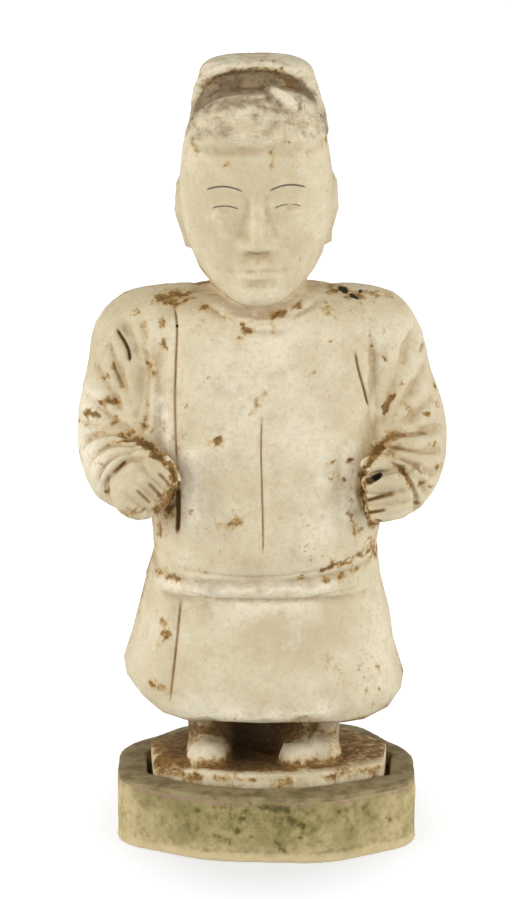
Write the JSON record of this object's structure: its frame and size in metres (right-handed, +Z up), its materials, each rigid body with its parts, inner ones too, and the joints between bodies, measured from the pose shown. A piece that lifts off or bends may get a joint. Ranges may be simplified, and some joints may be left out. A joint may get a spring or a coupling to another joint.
{
  "type": "pottery dwarf figure",
  "caption": "Standing pottery attendant in a belted robe and tied head cloth, fists held at the waist, on a slab set in a recessed green-painted stand.",
  "frame": {"origin": "centre of the stand's flat underside, on the surface it stands on", "axes": "+Z up through the figure, the longest way; the figure faces -Y, and +X is on the right of someone facing it"},
  "size_m": [0.1301, 0.0893, 0.2775],
  "materials": {
    "slip_clay": "matt cream slip over buff clay, worn, with brown soil in the cuts and traces of black and grey paint",
    "green_paint": "matt olive green paint, mottled and rubbed through to cream slip at the edges"
  },
  "bodies": {
    "root": {"figure": "slip_clay", "stand": "green_paint"}
  },
  "joints": []
}
